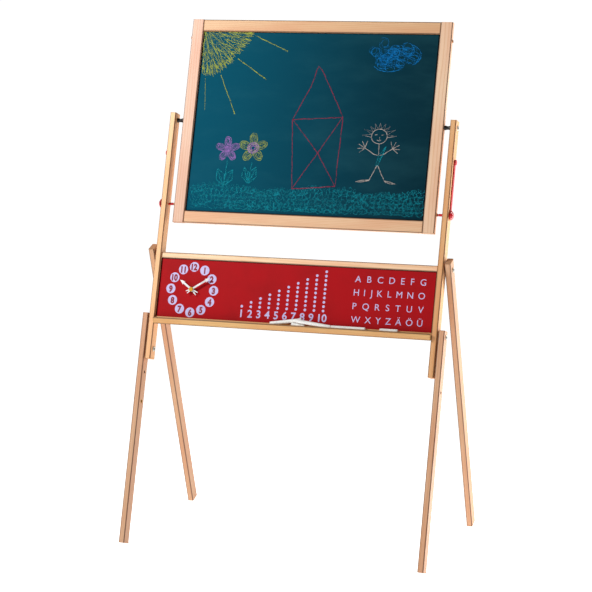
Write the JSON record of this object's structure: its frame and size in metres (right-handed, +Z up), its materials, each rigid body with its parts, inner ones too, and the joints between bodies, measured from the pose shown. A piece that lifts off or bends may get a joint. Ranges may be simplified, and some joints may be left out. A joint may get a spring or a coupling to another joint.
{
  "type": "children's easel",
  "caption": "Folding wooden easel for children with a turning chalkboard and whiteboard, a learning panel with a clock, a chalk tray and two folding rear legs.",
  "frame": {"origin": "middle of the footprint at floor level", "axes": "+Z up; -Y is the side that the child draws on; +X is to the right of someone facing the board"},
  "size_m": [0.727, 0.4476, 1.1792],
  "materials": {
    "pine": "clear satin varnish",
    "pine_tray": "clear satin varnish",
    "beech": "bare",
    "zinc": "bright zinc plated",
    "brassed": "satin",
    "panel_red": "printed board, satin",
    "chalk_face": "matt chalkboard paint",
    "white_face": "gloss",
    "knob_red": "gloss",
    "strap_red": "satin",
    "black": "satin",
    "hand_white": "gloss",
    "chalk": "powdery"
  },
  "bodies": {
    "front_frame": {"post_left": "pine", "post_right": "pine", "front_leg_left": "pine", "front_leg_right": "pine", "panel_top_rail": "pine", "chalk_tray": "pine_tray", "learning_panel": "panel_red", "leg_washers": "zinc", "leg_upper_bolts": "zinc", "leg_lower_bolts": "zinc", "rail_insert_nuts": "brassed", "leg_insert_nuts": "brassed", "rear_pivot_bolts": "zinc", "rear_pivot_washers": "black", "clock_spindle": "black", "clock_nut": "zinc", "board_pivot_bolts": "zinc", "pivot_spacer_left": "black", "pivot_spacer_right": "black", "lock_strap_left": "strap_red", "lock_strap_right": "strap_red", "strap_screws": "zinc", "chalk_sticks": "chalk"},
    "flip_board": {"board_stile_left": "pine", "board_stile_right": "pine", "board_rail_top": "pine", "board_rail_bottom": "pine", "chalkboard": "chalk_face", "whiteboard": "white_face", "board_dowels": "beech", "pivot_bushes": "brassed", "catch_bushes": "beech"},
    "rear_leg_l": {"rear_leg_left": "pine"},
    "rear_leg_r": {"rear_leg_right": "pine"},
    "hour_pointer": {"hour_hand": "hand_white"},
    "minute_pointer": {"minute_hand": "hand_white"},
    "lock_l": {"lock_pin_left": "knob_red"},
    "lock_r": {"lock_pin_right": "knob_red"}
  },
  "joints": [
    {"name": "board_turn", "type": "hinge", "parent": "front_frame", "child": "flip_board", "pos_m": [0, 0.07868, 0.94677], "axis": [1, 0, 0], "continuous": true},
    {"name": "rear_leg_left_fold", "type": "hinge", "parent": "front_frame", "child": "rear_leg_l", "pos_m": [-0.354, -0.0104, 0.64095], "axis": [-1, 0, 0], "range_deg": [0, 26]},
    {"name": "rear_leg_right_fold", "type": "hinge", "parent": "front_frame", "child": "rear_leg_r", "pos_m": [0.354, -0.0104, 0.64095], "axis": [-1, 0, 0], "range_deg": [0, 26]},
    {"name": "hour_turn", "type": "hinge", "parent": "front_frame", "child": "hour_pointer", "pos_m": [-0.2465, -0.05096, 0.5718], "axis": [0, -0.956, 0.2932], "continuous": true},
    {"name": "minute_turn", "type": "hinge", "parent": "front_frame", "child": "minute_pointer", "pos_m": [-0.2465, -0.05096, 0.5718], "axis": [0, -0.956, 0.2932], "continuous": true},
    {"name": "lock_left_pull", "type": "slide", "parent": "front_frame", "child": "lock_l", "axis": [-1, 0, 0], "range_m": [0, 0.028]},
    {"name": "lock_right_pull", "type": "slide", "parent": "front_frame", "child": "lock_r", "axis": [1, 0, 0], "range_m": [0, 0.028]}
  ]
}
